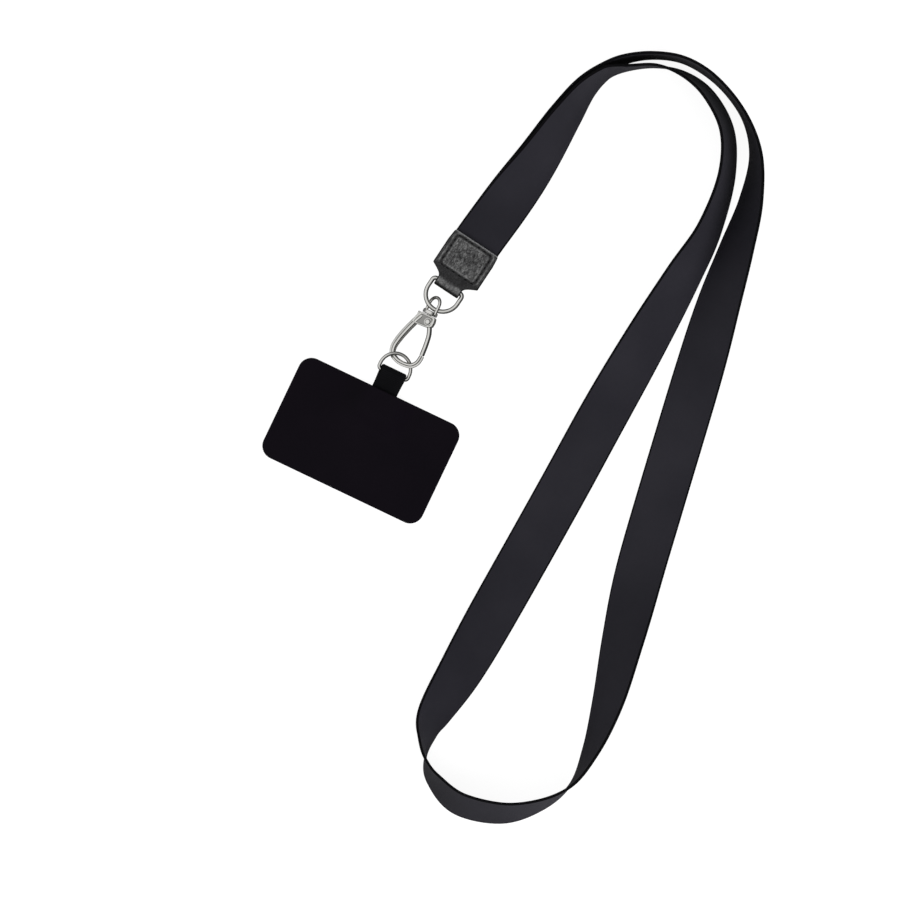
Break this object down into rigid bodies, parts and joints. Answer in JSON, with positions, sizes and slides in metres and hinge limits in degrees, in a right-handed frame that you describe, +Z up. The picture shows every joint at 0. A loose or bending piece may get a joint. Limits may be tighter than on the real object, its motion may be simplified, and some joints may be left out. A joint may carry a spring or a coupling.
{
  "type": "phone crossbody strap",
  "caption": "Flat ribbon crossbody strap loop closed in a leather tab, with a D-ring, a swivel snap hook and a thin tether patch on a webbing loop and small D-ring.",
  "frame": {"origin": "below the middle of the laid strap's bounding box, on the surface that it lies on", "axes": "+Z up from the surface, +Y along the loop from its low end to its top, +X to the right seen from above"},
  "size_m": [0.167, 0.2572, 0.0167],
  "materials": {
    "ribbon": "satin",
    "leather": "pebbled satin",
    "nickel": "bright polished",
    "webbing": "matte ribbed",
    "patch": "smooth matte"
  },
  "bodies": {
    "strap": {"strap_ribbon": "ribbon", "leather_tab": "leather"},
    "ring": {"d_ring": "nickel", "swivel_bail": "nickel"},
    "hook": {"snap_hook": "nickel", "gate_rivet": "nickel", "tether_ring": "nickel"},
    "gate": {"hook_gate": "nickel"},
    "tether": {"tether_webbing": "webbing", "tether_patch": "patch"}
  },
  "joints": [
    {"name": "d_ring_swing", "type": "hinge", "parent": "strap", "child": "ring", "pos_m": [-0.02142, 0.05086, 0.00245], "axis": [-0.8339, 0.5519, 0], "range_deg": [-3, 90]},
    {"name": "swivel_spin", "type": "hinge", "parent": "ring", "child": "hook", "pos_m": [-0.02681, 0.04344, 0.00317], "axis": [0.4384, 0.8988, 0], "continuous": true},
    {"name": "gate_swing", "type": "hinge", "parent": "hook", "child": "gate", "pos_m": [-0.02808, 0.03871, 0.00341], "axis": [0.2174, -0.1061, -0.9703], "range_deg": [0, 28], "stiffness_Nm_per_rad": 0.002, "springref_deg": -11.46},
    {"name": "tether_swing", "type": "hinge", "parent": "hook", "child": "tether", "pos_m": [-0.04017, 0.02142, 0.00286], "axis": [-0.8795, 0.4195, 0.225], "range_deg": [-3, 110]}
  ]
}
